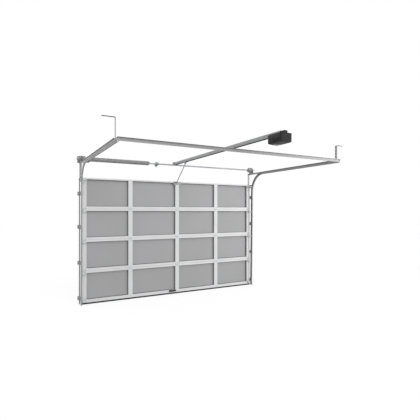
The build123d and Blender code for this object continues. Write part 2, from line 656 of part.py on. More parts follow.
ARM_FOOT_Y = -105.0
ARM_FOOT_H = 2158.0
arm_foot_z = level(ARM_FOOT_H)
arm_run = Vector(0, TROLLEY_Y - ARM_FOOT_Y, TROLLEY_PIN_Z - arm_foot_z)
arm_middle = Vector(0, (TROLLEY_Y + ARM_FOOT_Y) / 2, (TROLLEY_PIN_Z + arm_foot_z) / 2)
with BuildPart() as opener_arm:
    with BuildSketch(Plane(origin=arm_middle - Vector(2.5, 0, 0), x_dir=arm_run, z_dir=(1, 0, 0))):
        SlotOverall(arm_run.length + 26, 26)
        with Locations((-arm_run.length / 2, 0), (arm_run.length / 2, 0)):
            Circle(4, mode=Mode.SUBTRACT)
    extrude(amount=5)
save(opener_arm, "opener_arm")

with BuildPart() as door_arm_bracket:
    box_between(STILE_X[1] - 75, STILE_X[1] + 75, INNER_Y - SHEET, INNER_Y,
                level(SECTION_TOP_H - 58), level(SECTION_TOP_H))
    for side in (-1, 1):
        box_between(side * 3, side * 7, ARM_FOOT_Y - 14, INNER_Y - SHEET,
                    arm_foot_z - 14, arm_foot_z + 14)
    with BuildSketch(Plane.YZ.offset(-11)):
        with Locations((ARM_FOOT_Y, arm_foot_z)):
            Circle(4)
    extrude(amount=22)
save(door_arm_bracket, "door_arm_bracket")

# Motor head: a dark moulded box under the rear of the rail, which lies in a groove of its top.
motor_top = RAIL_NEST - rail_top
with BuildPart() as motor_housing:
    box_between(-MOTOR_W / 2, MOTOR_W / 2, MOTOR_REAR_Y, MOTOR_FRONT_Y, motor_top - MOTOR_DEPTH, motor_top)
    fillet(motor_housing.edges().filter_by(Axis.Z), 12)
    chamfer(motor_housing.faces().sort_by(Axis.Z)[0].edges(), 6)
    box_between(-RAIL_W / 2, RAIL_W / 2, MOTOR_REAR_Y + 30, MOTOR_FRONT_Y, -rail_top, motor_top, Mode.SUBTRACT)
save(motor_housing, "motor_housing")

with BuildPart() as drive_cover:
    box_between(-RAIL_W / 2 - 10, RAIL_W / 2 + 10, MOTOR_REAR_Y + 8, MOTOR_REAR_Y + 94,
                motor_top, rail_top + 6)
    fillet(drive_cover.edges().filter_by(Axis.Z), 4)
    box_between(-RAIL_W / 2, RAIL_W / 2, MOTOR_REAR_Y + 30, MOTOR_REAR_Y + 94,
                motor_top, rail_top, Mode.SUBTRACT)
save(drive_cover, "drive_cover")

with BuildPart() as light_lens:
    with BuildSketch(Plane.XY.offset(motor_top - MOTOR_DEPTH - 9)):
        with Locations((0, MOTOR_FRONT_Y - 56)):
            RectangleRounded(96, 62, 10)
    extrude(amount=9)
    chamfer(light_lens.faces().sort_by(Axis.Z)[0].edges(), 4)
save(light_lens, "light_lens")
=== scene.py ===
import bmesh
import bpy
import numpy as np
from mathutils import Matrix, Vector


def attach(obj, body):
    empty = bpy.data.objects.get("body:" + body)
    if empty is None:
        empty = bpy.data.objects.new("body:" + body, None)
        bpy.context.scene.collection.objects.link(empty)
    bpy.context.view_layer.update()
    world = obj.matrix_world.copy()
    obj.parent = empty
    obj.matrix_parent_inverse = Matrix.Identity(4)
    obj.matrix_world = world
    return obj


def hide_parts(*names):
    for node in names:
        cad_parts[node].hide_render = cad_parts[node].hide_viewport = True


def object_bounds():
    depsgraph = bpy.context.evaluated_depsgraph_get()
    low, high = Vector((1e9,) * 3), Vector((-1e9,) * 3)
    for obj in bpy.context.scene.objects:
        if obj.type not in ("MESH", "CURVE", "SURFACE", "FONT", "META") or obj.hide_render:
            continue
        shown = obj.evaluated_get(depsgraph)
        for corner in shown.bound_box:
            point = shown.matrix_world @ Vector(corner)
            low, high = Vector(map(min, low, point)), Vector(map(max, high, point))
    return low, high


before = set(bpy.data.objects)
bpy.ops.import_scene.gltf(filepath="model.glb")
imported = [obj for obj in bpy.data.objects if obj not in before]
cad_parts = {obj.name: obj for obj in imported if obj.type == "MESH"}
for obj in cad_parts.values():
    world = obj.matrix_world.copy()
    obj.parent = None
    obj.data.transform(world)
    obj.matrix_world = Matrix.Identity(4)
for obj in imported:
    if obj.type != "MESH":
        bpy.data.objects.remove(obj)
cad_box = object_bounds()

# A sectional garage door, closed, seen from inside the garage: +X right, +Y to the street, +Z up.
# New pieces are worked out in mm and made in metres. The bottom seal stands on the floor, so the
# lowest point of the CAD box is the floor.
floor_z = cad_box[0][2]
z0 = floor_z * 1000

# The photographer stood left of the middle of the garage, at eye height, and looked a little to
# the right of square on. A level camera with a 30.6 mm lens has the photograph's vanishing points.
eye_height, turned_right = 1.59262, 29.1387
lens = bpy.data.cameras.new("viewpoint")
lens.lens = 30.5816
lens.sensor_width = 36.0
lens.shift_y = 0.0038
lens.clip_start = 0.05
lens.clip_end = 200.0
viewpoint = bpy.data.objects.new("viewpoint", lens)
viewpoint.location = (-2.79772, -6.43664, floor_z + eye_height)
viewpoint.rotation_euler = np.radians((90.0, 0.0, -turned_right))
bpy.context.scene.collection.objects.link(viewpoint)
bpy.context.scene.camera = viewpoint
bpy.context.scene.view_settings.view_transform = "Standard"


# Daylight of an empty white garage: even light from all round, a wide soft light from behind the
# camera, one from the ceiling and a weaker one from the street side. They are suns, which don't show.
def add(tree, kind, sockets=(), **settings):
    """Adds a node with its settings. A socket's value is either a constant or another node's output."""
    fresh = tree.nodes.new(kind)
    for key, value in settings.items():
        setattr(fresh, key, value)
    for key, value in dict(sockets).items():
        if isinstance(value, bpy.types.NodeSocket):
            tree.links.new(value, fresh.inputs[key])
        else:
            fresh.inputs[key].default_value = value
    return fresh


def paint(code):
    """sRGB hex to linear: c / 12.92 up to 0.04045, else ((c + 0.055) / 1.055) to the power 2.4."""
    c = np.array([int(code[i:i + 2], 16) for i in (1, 3, 5)]) / 255.0
    return (*np.where(c <= 0.04045, c / 12.92, ((c + 0.055) / 1.055) ** 2.4), 1.0)


world = bpy.data.worlds.new("white_room")
bpy.context.scene.world = world
world.use_nodes = True
sky = world.node_tree
sky.nodes.clear()
ray = add(sky, "ShaderNodeLightPath")
seen = add(sky, "ShaderNodeMath", {0: ray.outputs["Is Camera Ray"], 1: ray.outputs["Is Glossy Ray"]},
           operation="MAXIMUM")
seen = add(sky, "ShaderNodeMath", {0: seen.outputs[0], 1: ray.outputs["Is Transmission Ray"]},
           operation="MAXIMUM")
level = add(sky, "ShaderNodeMix", {"Factor": seen.outputs[0], "A": 0.5, "B": 1.0}, data_type="FLOAT")
white = add(sky, "ShaderNodeBackground", {"Color": paint("#FFFFFF"), "Strength": level.outputs[0]})
add(sky, "ShaderNodeOutputWorld", {"Surface": white.outputs[0]})

for name, strength, spread, towards in (("window_light", 1.15, 60, (-0.05, 0.9, -0.42)),
                                        ("ceiling_light", 0.4, 70, (0.1, 0.15, -1.0)),
                                        ("street_light", 0.5, 50, (0.3, -0.8, -0.45))):
    lamp = bpy.data.lights.new(name, "SUN")
    lamp.energy = strength
    lamp.angle = np.radians(spread)
    holder = bpy.data.objects.new(name, lamp)
    holder.rotation_euler = Vector(towards).to_track_quat("-Z", "Y").to_euler()
    bpy.context.scene.collection.objects.link(holder)

# A window at the right rear makes that side brighter. It is a square lamp that no camera sees.
lamp = bpy.data.lights.new("side_window", "AREA")
lamp.energy, lamp.size = 95.0, 1.6
holder = bpy.data.objects.new("side_window", lamp)
holder.location = (4.6, -5.2, floor_z + 1.9)
holder.rotation_euler = Vector((-3.6, 4.2, -0.2)).to_track_quat("-Z", "Y").to_euler()
holder.visible_camera = False
bpy.context.scene.collection.objects.link(holder)


# Floor: plain white to the camera, so that it is one with the white room, and it keeps the door's
# shadow. Other rays meet it grey, as a garage floor is, so that it doesn't light undersides too much.
def body_from(name, points, faces, smooth_below=32):
    """A mesh of corner places and faces as arrays, welded within 1 micron, faces outwards, shaded
    smooth across edges that turn less than smooth_below degrees."""
    mesh = bpy.data.meshes.new(name)
    mesh.from_pydata(points.tolist(), [], faces)
    work = bmesh.new()
    work.from_mesh(mesh)
    bmesh.ops.remove_doubles(work, verts=work.verts, dist=1e-6)
    bmesh.ops.dissolve_degenerate(work, edges=work.edges, dist=1e-7)
    bmesh.ops.recalc_face_normals(work, faces=work.faces)
    for edge in work.edges:
        edge.smooth = edge.calc_face_angle(0.0) < np.radians(smooth_below)
    for face in work.faces:
        face.smooth = True
    work.to_mesh(mesh)
    work.free()
    piece = bpy.data.objects.new(name, mesh)
    bpy.context.scene.collection.objects.link(piece)
    return piece


floor_paint = bpy.data.materials.new("floor_white")
floor_paint.use_nodes = True
tree = floor_paint.node_tree
tree.nodes.clear()
ray = add(tree, "ShaderNodeLightPath")
shade = add(tree, "ShaderNodeMixRGB", {"Fac": ray.outputs["Is Camera Ray"], "Color1": paint("#B4B4B4"),
                                       "Color2": paint("#F7F7F7")})
matt = add(tree, "ShaderNodeBsdfDiffuse", {"Color": shade.outputs[0]})
glow = add(tree, "ShaderNodeEmission", {"Color": paint("#FFFFFF"), "Strength": 1.08})
share = add(tree, "ShaderNodeMath", {0: ray.outputs["Is Camera Ray"], 1: 0.75}, operation="MULTIPLY")
share = add(tree, "ShaderNodeMath", {0: share.outputs[0], 1: ray.outputs["Is Glossy Ray"]},
            operation="MAXIMUM")
share = add(tree, "ShaderNodeMath", {0: share.outputs[0], 1: ray.outputs["Is Transmission Ray"]},
            operation="MAXIMUM")
mixed = add(tree, "ShaderNodeMixShader", {0: share.outputs[0], 1: matt.outputs[0], 2: glow.outputs[0]})
add(tree, "ShaderNodeOutputMaterial", {"Surface": mixed.outputs[0]})
reach, level_z = 30.0, floor_z - 0.0005
floor = body_from("floor", np.array([(-reach, -reach, level_z), (reach, -reach, level_z),
                                     (reach, reach, level_z), (-reach, reach, level_z)]), [(0, 1, 2, 3)])
floor.data.materials.append(floor_paint)


# Curtain frame and seal retainer: rails and stiles of extruded aluminium, screwed together at the
# corners and powder coated pale grey. The powder melts to a satin skin with a fine orange peel.
def finish(name, base, roughness, metallic=0.0, **other):
    """A new material with its Principled shader, its tree and the Object coordinates in metres."""
    made = bpy.data.materials.new(name)
    made.use_nodes = True
    tree = made.node_tree
    tree.nodes.clear()
    shader = add(tree, "ShaderNodeBsdfPrincipled",
                 {"Base Color": paint(base), "Roughness": roughness, "Metallic": metallic, **other})
    add(tree, "ShaderNodeOutputMaterial", {"Surface": shader.outputs[0]})
    place = add(tree, "ShaderNodeTexCoord").outputs["Object"]
    return made, tree, shader, place


def vary(tree, shader, place, size_mm, dark, light, squeeze=(1, 1, 1), detail=3.0):
    """Base Color drifts between two tones over patches of size_mm. squeeze stretches the patches."""
    spot = add(tree, "ShaderNodeMapping", {"Vector": place, "Scale": squeeze})
    cloud = add(tree, "ShaderNodeTexNoise",
                {"Vector": spot.outputs[0], "Scale": 1000.0 / size_mm, "Detail": detail})
    ramp = add(tree, "ShaderNodeValToRGB", {"Fac": cloud.outputs["Fac"]})
    first, last = ramp.color_ramp.elements
    first.position, last.position = 0.32, 0.68
    first.color, last.color = paint(dark), paint(light)
    tree.links.new(ramp.outputs["Color"], shader.inputs["Base Color"])


def relief(tree, shader, place, size_mm, height_mm, strength=1.0):
    """Bump of patches of size_mm whose height is height_mm."""
    grain = add(tree, "ShaderNodeTexNoise", {"Vector": place, "Scale": 1000.0 / size_mm, "Detail": 2.0})
    bump = add(tree, "ShaderNodeBump", {"Height": grain.outputs["Fac"], "Strength": strength,
                                        "Distance": height_mm / 1000.0})
    tree.links.new(bump.outputs["Normal"], shader.inputs["Normal"])


def dress(finish_made, *names):
    """Gives CAD nodes a finish in every slot of their mesh."""
    for name in names:
        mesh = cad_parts[name].data
        if mesh.materials:
            for slot in range(len(mesh.materials)):
                mesh.materials[slot] = finish_made
        else:
            mesh.materials.append(finish_made)


powder_coat, tree, shader, place = finish("powder_coat_pale_grey", "#DDDDDE", 0.42,
                                          **{"Specular IOR Level": 0.45})
vary(tree, shader, place, 420, "#DADADB", "#E0E0E1")
# Orange peel is about 1.5 mm across; drawn 6 mm across, so that it shows.
relief(tree, shader, place, 6.0, 0.05, strength=0.35)
dress(powder_coat, *[f"section_{n}_{part}" for n in (1, 2, 3, 4) for part in ("rails", "stiles")],
      "seal_retainer")

# Infill panels: steel skins over foam, coil coated mid grey before they are cut. The coating is even
# and nearly matt, with a faint texture from the roller that lays it on, drawn 4 mm across.
coil_coat, tree, shader, place = finish("coil_coat_mid_grey", "#A5A5A6", 0.5,
                                        **{"Specular IOR Level": 0.4})
vary(tree, shader, place, 900, "#A3A3A3", "#A7A7A9", detail=1.0)
relief(tree, shader, place, 4.0, 0.04, strength=0.25)
dress(coil_coat, *[f"section_{n}_panels" for n in (1, 2, 3, 4)])


# Panel gaskets: grey rubber wedges pressed in all round the sixteen panels, on the room side. Their
# dark grey is partly the rubber's own and partly painted shade: they line the recess edges, where
# shade falls. Their profile runs round each opening and is mitred at the corners.
def shell(name, patches, finish_made, stands_for=(), smooth_below=32):
    """One piece of one or more grids of points in mm. A patch is (points[..., row, column, xyz], rows
    closed, columns closed), and each cell between four neighbours is one face."""
    corners, faces, start = [], [], 0
    for points, rows_closed, columns_closed in patches:
        points = np.asarray(points, float)
        points = points.reshape(-1, *points.shape[-3:])
        index = start + np.arange(points[..., 0].size).reshape(points.shape[:3])
        if rows_closed:
            index = np.concatenate((index, index[:, :1]), 1)
        if columns_closed:
            index = np.concatenate((index, index[:, :, :1]), 2)
        cells = np.stack((index[:, :-1, :-1], index[:, 1:, :-1], index[:, 1:, 1:], index[:, :-1, 1:]), -1)
        corners.append(points.reshape(-1, 3))
        faces.append(cells.reshape(-1, 4))
        start += points[..., 0].size
    piece = body_from(name, np.concatenate(corners) / 1000.0, np.concatenate(faces).tolist(), smooth_below)
    piece.data.materials.append(finish_made)
    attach(piece, "root")
    if stands_for:
        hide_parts(*stands_for)
    return piece


first_low, pitch, section_high, rail_high, top_rail_high = 45, 533.0, 531, 38, 26
lows = [first_low + pitch * n + rail_high for n in range(4)]
highs = [first_low + pitch * n + section_high - (top_rail_high if n == 3 else rail_high) for n in range(4)]
bays = [(-1667.0, -938.0), (-862.0, -13.0), (63.0, 855.0), (931.0, 1667.0)]
openings = np.array([[(x0, low), (x1, low), (x1, high), (x0, high)]
                     for low, high in zip(lows, highs) for x0, x1 in bays])
inward = np.array([(1, 1), (-1, 1), (-1, -1), (1, -1)])
# The wedge's profile: distance inwards from the opening's edge, and Y. It covers each reveal from Y
# -20 to -42 and darkens it there: painted shade.
wedge = np.array([(0, -20.0), (7.0, -20.0), (7.0, -23.0), (4.0, -27.0), (3.4, -40.0), (2.2, -42.0),
                  (0, -42.0)])
flat = openings[:, :, None] + inward[None, :, None] * wedge[None, None, :, :1]
gasket = np.stack((flat[..., 0], wedge[:, 1] + 0 * flat[..., 0], z0 + flat[..., 1]), -1)
# Dark grey, darker than the frame, so that the recess edges look shaded: partly rubber, partly painted shade.
gasket_shade_grey, tree, shader, place = finish("gasket_rubber_and_painted_shade", "#6C6C6D", 0.7)
vary(tree, shader, place, 40, "#666667", "#737374")
shell("panel_gaskets_and_painted_shade", [(gasket, True, True)], gasket_shade_grey)

# Bottom seal: extruded black rubber in the retainer's channel, matt, and dusty near the floor.
rubber, tree, shader, place = finish("seal_rubber_black", "#1C1C1D", 0.75)
vary(tree, shader, place, 60, "#161617", "#262627")
dress(rubber, "bottom_seal")

# Sheet and angle steel of the tracks and brackets: hot dip galvanised, whose zinc freezes in flakes
# about 12 mm across, each a little brighter or duller than its neighbours.
galvanised, tree, shader, place = finish("galvanised_steel", "#949494", 0.5, metallic=0.5)
flake = add(tree, "ShaderNodeTexVoronoi", {"Vector": place, "Scale": 1000.0 / 12.0}, feature="F1")
tone = add(tree, "ShaderNodeMapRange", {"Value": flake.outputs["Color"], "To Min": 0.46, "To Max": 0.56})
tree.links.new(tone.outputs[0], shader.inputs["Roughness"])
ramp = add(tree, "ShaderNodeValToRGB", {"Fac": flake.outputs["Color"]})
first, last = ramp.color_ramp.elements
first.color, last.color = paint("#909090"), paint("#999999")
tree.links.new(ramp.outputs["Color"], shader.inputs["Base Color"])
dress(galvanised, "vertical_tracks", "curved_tracks", "horizontal_tracks", "wall_angles",
      "track_brackets", "flag_brackets", "horizontal_angles", "rear_hangers", "rear_cross_bar",
      "end_bearing_plates", "spring_anchor_bracket", "centre_bearing_bracket", "header_bracket",
      "opener_arm", "door_arm_bracket", "lift_cables")


# Tracks: 2 mm galvanised strip rolled to a channel with curled lips, in three lengths a side. The
# track leans straight to the foot of the curve, then turns a quarter circle, then runs level.
def bent(corners, radius, steps=5):
    """A line through corners. Each inner corner is a parabola that begins and ends radius away."""
    c = np.array(corners, float)
    to = c[:-2] - c[1:-1], c[2:] - c[1:-1]
    a, b = (c[1:-1] + radius * d / np.linalg.norm(d, axis=1, keepdims=True) for d in to)
    s = np.linspace(0, 1, steps)[None, :, None]
    arcs = (1 - s) ** 2 * a[:, None] + 2 * s * (1 - s) * c[1:-1, None] + s ** 2 * b[:, None]
    return np.concatenate((c[:1], arcs.reshape(-1, c.shape[1]), c[-1:]))


def rolled(middle, thick, origins, p_axes, q_axes):
    """Sheet of the given thickness whose middle line (p, q) is carried along a path: origin + p P + q Q,
    with half the thickness on either side along the line's normal. Gives the skin and both ends."""
    way = np.gradient(np.asarray(middle, float), axis=0)
    way /= np.linalg.norm(way, axis=1, keepdims=True)
    off = np.stack((-way[:, 1], way[:, 0]), -1) * thick / 2
    loop = np.concatenate((middle + off, (middle - off)[::-1]))
    skin = (np.asarray(origins, float)[:, None] + loop[None, :, :1] * np.asarray(p_axes, float)[:, None]
            + loop[None, :, 1:] * np.asarray(q_axes, float)[:, None])
    n = len(middle)
    end = np.stack((skin[[0, -1], :n], skin[[0, -1], n:][:, ::-1]), 1)
    return [(skin, False, True), (end, False, False)]


foot_h, foot_y, curve_foot_h, curve_foot_y = 5.0, -97.0, 2022.0, -128.0
lean = np.arctan2(foot_y - curve_foot_y, curve_foot_h - foot_h)
curve_r, track_x, web_x = 381.0, 1751.0, 1771.0
curve_y, curve_h = curve_foot_y - curve_r * np.cos(lean), curve_foot_h - curve_r * np.sin(lean)
track_h = curve_h + curve_r
track_end_y = -2480


def track_y(h):
    """Y of the middle of the track at a height above the floor."""
    h = np.asarray(h, float)
    on_curve = curve_y + np.sqrt(np.maximum(curve_r ** 2 - (h - curve_h) ** 2, 0))
    straight = foot_y - (foot_y - curve_foot_y) * (h - foot_h) / (curve_foot_h - foot_h)
    return np.where(h > curve_foot_h, on_curve, straight)


gutter = bent([(2.5, -19), (1, -18), (1, -26), (19, -26), (19, 26), (1, 26), (1, 20), (2.5, 21)], 3.0, 4)
turn = np.linspace(lean, np.pi / 2, 25)
upright_h = [5, 1000, 2021.6]
lengths = (
    ("vertical_rails", "vertical_tracks", np.stack((track_y(upright_h), upright_h), -1), np.full(3, lean)),
    ("curved_rails", "curved_tracks",
     np.stack((curve_y + curve_r * np.cos(turn), curve_h + curve_r * np.sin(turn)), -1), turn),
    ("horizontal_rails", "horizontal_tracks",
     np.stack(([curve_y - 0.4, -1500, track_end_y], np.full(3, track_h)), -1), np.full(3, np.pi / 2)))
for name, node, line, angle in lengths:
    patches = []
    for side in (-1, 1):
        origins = np.stack((np.full(len(line), side * track_x), line[:, 0], z0 + line[:, 1]), -1)
        out = np.repeat([(side, 0, 0)], len(line), 0)
        patches += rolled(gutter, 2.0, origins, out, np.stack((0 * angle, np.cos(angle), np.sin(angle)), -1))
    shell(name, patches, galvanised, (node,), 50)

# Angle along the top of each horizontal track, 3 mm steel, riveted to its outer side so that the
# track carries the raised curtain without bending.
angle_top = track_h + 30
leg = bent([(1.5, z0 + angle_top - 35), (1.5, z0 + angle_top - 1.5), (16, z0 + angle_top - 1.5)], 3.5)
patches = []
for side in (-1, 1):
    patches += rolled(leg, 3.0, [(side * web_x, -3, 0), (side * web_x, -2370, 0)],
                      [(side, 0, 0)] * 2, [(0, 0, 1)] * 2)
shell("track_angles", patches, galvanised, ("horizontal_angles",), 50)

# Rear bar: 3 mm steel angle bolted across the ends of both tracks, which keeps them apart.
leg = bent([(track_end_y - 1.5, track_h - 17), (track_end_y - 1.5, track_h + 23.5),
            (-2510, track_h + 23.5)], 4)
shell("rear_bar", rolled(leg, 3.0, [(-1774, 0, z0), (1774, 0, z0)], [(0, 1, 0)] * 2, [(0, 0, 1)] * 2),
      galvanised, ("rear_cross_bar",), 50)

# Track brackets: 3 mm plates from the back of the vertical tracks to the wall angles, each with a
# foot that is folded outwards over the angle and screwed to the wall.
bracket_h = np.array([110.0, 718.0, 1330.0, 1900.0])
patches = []
for h in bracket_h:
    foot = bent([(track_y(h) - 12, 1772.5), (-4.5, 1772.5), (-4.5, 1808)], 4)
    for side in (-1, 1):
        patches += rolled(foot, 3.0, [(0, 0, z0 + h - 33), (0, 0, z0 + h + 33)],
                          [(0, 1, 0)] * 2, [(side, 0, 0)] * 2)
shell("bracket_plates", patches, galvanised, ("track_brackets",), 40)


# Flag straps: the wall side of each flag bracket, 2 mm strip with round corners that runs on up to
# the clip of the horizontal track, with a pressed stiffening rib down its outer side.
def pad(width, height, radius, steps=5):
    """Outline of a rectangle with round corners, anticlockwise from the right: a quarter circle at each."""
    turn = np.linspace(0, np.pi / 2, steps) + np.arange(4)[:, None] * np.pi / 2
    x = (width / 2 - radius) * np.array([1, -1, -1, 1])[:, None] + radius * np.cos(turn)
    y = (height / 2 - radius) * np.array([1, 1, -1, -1])[:, None] + radius * np.sin(turn)
    return np.stack((x, y), -1).reshape(-1, 2)


def slab(outline, thick, soft=0.5, middle=None):
    """A plate of an outline (u, v) and a thickness along X, its edges drawn in by soft on both sides,
    and both sides closed in the middle."""
    middle = outline.mean(0) if middle is None else np.array(middle, float)
    away = outline - middle
    draw = 1 - soft / np.linalg.norm(away, axis=1, keepdims=True)
    rows = [(0, 0 * away), (0, away * draw), (soft, away), (thick - soft, away), (thick, away * draw),
            (thick, 0 * away)]
    return np.stack([np.concatenate((np.full((len(away), 1), float(w)), middle + r), 1) for w, r in rows])


def placed(points, spots, turn=np.eye(3)):
    """Copies of a shape: each point times the turn, plus each spot."""
    return np.asarray(spots, float)[:, None, None] + (points @ turn)[None]


def mirrored(spots):
    """The same spots on the left and on the right."""
    spots = np.asarray(spots, float)
    return np.concatenate((spots * (-1, 1, 1), spots))


# Thickness into the room, the outline's first direction up and its second to the right.
UPRIGHT = np.array([(0, -1, 0), (0, 0, 1), (1, 0, 0)], float)
strap_low, strap_high = 2104.0, 2424.0
strap = slab(pad(strap_high - strap_low, 38, 5), 2.0, 0.5)
rib = slab(pad(190, 9, 4.4), 2.2, 1.6)
shell("flag_straps", [
    (placed(strap, mirrored([(1755.5, -3, z0 + (strap_low + strap_high) / 2)]), UPRIGHT), False, True),
    (placed(rib, mirrored([(1768.0, -4.6, z0 + 2250)]), UPRIGHT), False, True)],
      galvanised, (), 40)


# Track bolts: M8 with low round heads inside the track, clear of the rollers, and flanged nuts on
# the outside. They and all other small fasteners are bright zinc plated, pale with soft clouds.
def turned(profile, columns):
    """A profile of (distance along X, radius) turned round the X axis: (a, r cos t, r sin t). A third
    value of 1 makes that row a hexagon, r across its corners."""
    a, r, six = np.array([(*row, 0.0)[:3] for row in profile], float).T
    t = np.linspace(0, 2 * np.pi, columns, endpoint=False)
    hexagon = np.cos(np.pi / 6) / np.cos((t + np.pi / 6) % (np.pi / 3) - np.pi / 6)
    r = r[:, None] * (1 + six[:, None] * (hexagon - 1))
    return np.stack((np.repeat(a[:, None], columns, 1), r * np.cos(t), r * np.sin(t)), -1)


def both_sides(points, spots):
    """Copies at the spots whose X axis points outwards on either side of the door."""
    spots = np.asarray(spots, float)
    flip = np.where(spots[:, :1] < 0, (-1.0, 1.0, 1.0), (1.0, 1.0, 1.0))
    return points[None] * flip[:, None, None] + spots[:, None, None]


# A shape's X axis points into the room, out from the wall.
INTO_ROOM = np.array([(0, -1, 0), (1, 0, 0), (0, 0, 1)], float)
zinc, tree, shader, place = finish("bright_zinc_plate", "#CDCECF", 0.5, metallic=0.2)
vary(tree, shader, place, 25, "#C6C7C8", "#D4D5D6")
dome = turned([(0, 0), (0, 8.2), (-1.2, 8.0), (-2.6, 6.4), (-3.6, 3.6), (-3.9, 0)], 16)
nut = turned([(0, 8.4), (1.2, 8.4), (1.8, 7.4), (1.8, 6.9, 1), (6.2, 6.9, 1), (6.8, 6.0, 1), (6.8, 3.9),
              (9.5, 3.9), (10, 3.2), (10, 0)], 12)
heights = np.array([*bracket_h, 2137.0])
along = (-717.0, -1152.0, -1587.0, -2021.0, -2404.0)
bolts = [(y, z0 + h) for y, h in zip(track_y(heights), heights)] + [(y, z0 + track_h + 3) for y in along]
heads = [(1769.0, *spot) for spot in bolts]
nuts = [(1774.0, *spot) for spot in bolts] + [(1774.0, -14.0, z0 + h) for h in bracket_h]
rear = mirrored([(1761.0, track_end_y - 3.0, z0 + track_h + 8)])
shell("track_bolts", [(both_sides(dome, mirrored(heads)), False, True),
                      (both_sides(nut, mirrored(nuts)), False, True),
                      (placed(nut, rear, INTO_ROOM), False, True)], zinc, (), 40)

# Hinges: 2.5 mm zinc plated leaves with round corners, rolled knuckles and a headed pin, across each
# joint of the curtain at the three inner stiles and at both edges.
dress(zinc, "centre_hinges", "end_hinges", "bottom_brackets", "top_brackets")
room_face, knuckle_y = -63, -70
curl = np.radians(np.linspace(25, 265, 17))
loop = np.concatenate(([(7, -8), (7, -1)], 6 * np.stack((np.cos(curl), np.sin(curl)), -1),
                       [(4.5, -6.3), (4.5, -8)]))
low_knuckle = slab(loop, 19.0, 0.4, (5, -4))
top_knuckle = slab((loop * (1, -1))[::-1], 19.0, 0.4, (5, 4))
pin = turned([(-32, 0), (-32, 2.4), (-31.3, 4.4), (-30.4, 4.4), (-30.4, 3), (30.4, 3), (30.4, 4.4),
              (31.3, 4.4), (32, 2.4), (32, 0)], 16)
leaf = slab(pad(60, 36, 5), 2.5)
long_leaf = slab(pad(60, 76, 5), 2.5)
joints = first_low - 1 + pitch * np.arange(1, 4)
middles = np.array([(x, 0, z0 + h) for h in joints for x in (-900.0, 25.0, 893.0)])
sides = mirrored([(1706.0, 0, z0 + h) for h in joints])
every = np.concatenate((middles, sides))
leaves = np.concatenate((every + (0, room_face, 25), middles + (0, room_face, -25)))
shell("hinge_leaves", [
    (placed(leaf, leaves, INTO_ROOM), False, True),
    (placed(long_leaf, sides + (0, room_face, -45), INTO_ROOM), False, True),
    (placed(low_knuckle, np.concatenate((every + (-29.5, knuckle_y, 0), every + (10.5, knuckle_y, 0)))),
     False, True),
    (placed(top_knuckle, every + (-9.5, knuckle_y, 0)), False, True),
    (placed(pin, every + (0, knuckle_y, 0)), False, True)],
      zinc, ("centre_hinges", "end_hinges"), 40)

# Roller carriers: a tube for each stem, held off the leaf by two round-nosed cheeks.
roller_h = np.array([70.0, 527.0, 1060.0, 1593.0, 2127.0])
roller_y = track_y(roller_h)
tube = turned([(0, 5.8), (0, 8.2), (0.8, 9), (61.2, 9), (62, 8.2), (62, 5.8)], 24)
nose = np.radians(np.linspace(90, 270, 11))
patches = [(both_sides(tube, mirrored([(1679.0, y, z0 + h) for y, h in zip(roller_y, roller_h)])),
            True, True)]
for y, h in zip(roller_y, roller_h):
    ear = np.concatenate(([(-65 - y, -13), (-65 - y, 13)], 9.6 * np.stack((np.cos(nose), np.sin(nose)), -1)))
    patches.append((both_sides(slab(ear, 3.0), mirrored([(x, y, z0 + h) for x in (1679.0, 1738.0)])),
                    False, True))
shell("roller_carriers", patches, zinc, (), 40)

# Corner brackets: 3 mm zinc plated steel. The bottom ones wrap the edge of the curtain and carry the
# button that the cable's eye hangs on.
pin_y, pin_z = -44, z0 + 82.0
wrap = bent([(1668, -64.5), (1746.5, -64.5), (1746.5, -28)], 4)
patches = [(placed(slab(pad(68, 112, 6), 3.0), mirrored([(1709.0, room_face, z0 + 2111)]), INTO_ROOM),
            False, True)]
for side in (-1, 1):
    patches += rolled(wrap, 3.0, [(0, 0, z0 + 45.5), (0, 0, z0 + 134.5)],
                      [(side, 0, 0)] * 2, [(0, 1, 0)] * 2)
button = turned([(0, 5), (10.5, 5), (10.5, 7.5), (12.6, 7.5), (13.6, 6), (13.6, 0)], 20)
patches.append((both_sides(button, mirrored([(1748.0, pin_y, pin_z)])), False, True))
shell("corner_brackets", patches, zinc, ("bottom_brackets", "top_brackets"), 40)

# Self-drilling screws: hexagon heads on washers, in all hinges and brackets of the curtain.
screw = turned([(0, 6.3), (0.9, 6.3), (1.2, 5.7), (1.2, 4.7, 1), (4.2, 4.7, 1), (4.9, 3.9, 1), (4.9, 0)], 12)
spots = [middles + (x, -65.5, z) for x in (-20, 20) for z in (-28, 28)]
spots += [sides + (x, -65.5, z) for x in (-20, 20) for z in (-70, -26, 28)]
spots += [mirrored([(x, -66, z0 + h) for x in (1685.0, 1725.0) for h in (100.0, 122.0)]),
          mirrored([(x, -66, z0 + h) for x in (1687.0, 1731.0) for h in (2070.0, 2098.0, 2155.0)]),
          np.array([(25.0 + x, -66, z0 + h) for x in (-60, 60) for h in (2131.0, 2160.0)])]
shell("drilling_screws", [(placed(screw, np.concatenate(spots), INTO_ROOM), False, True)],
      zinc, (), 40)

# Rollers: natural nylon tyres moulded round a steel race, slightly mottled by the floor's dirt.
roller_nylon, tree, shader, place = finish("roller_nylon_natural", "#D9D7CE", 0.4)
vary(tree, shader, place, 20, "#D2D0C6", "#DEDCD4")
dress(roller_nylon, "rollers")
wheel = turned([(-6, 12), (-6, 20), (-5.2, 22), (-3.4, 23), (3.4, 23), (5.2, 22), (6, 20), (6, 12),
                (4.5, 11), (-4.5, 11)], 32)
hubs = mirrored([(track_x + 10, y, z0 + h) for y, h in zip(roller_y, roller_h)])
shell("roller_tyres", [(both_sides(wheel, hubs), True, True)], roller_nylon, ("rollers",))

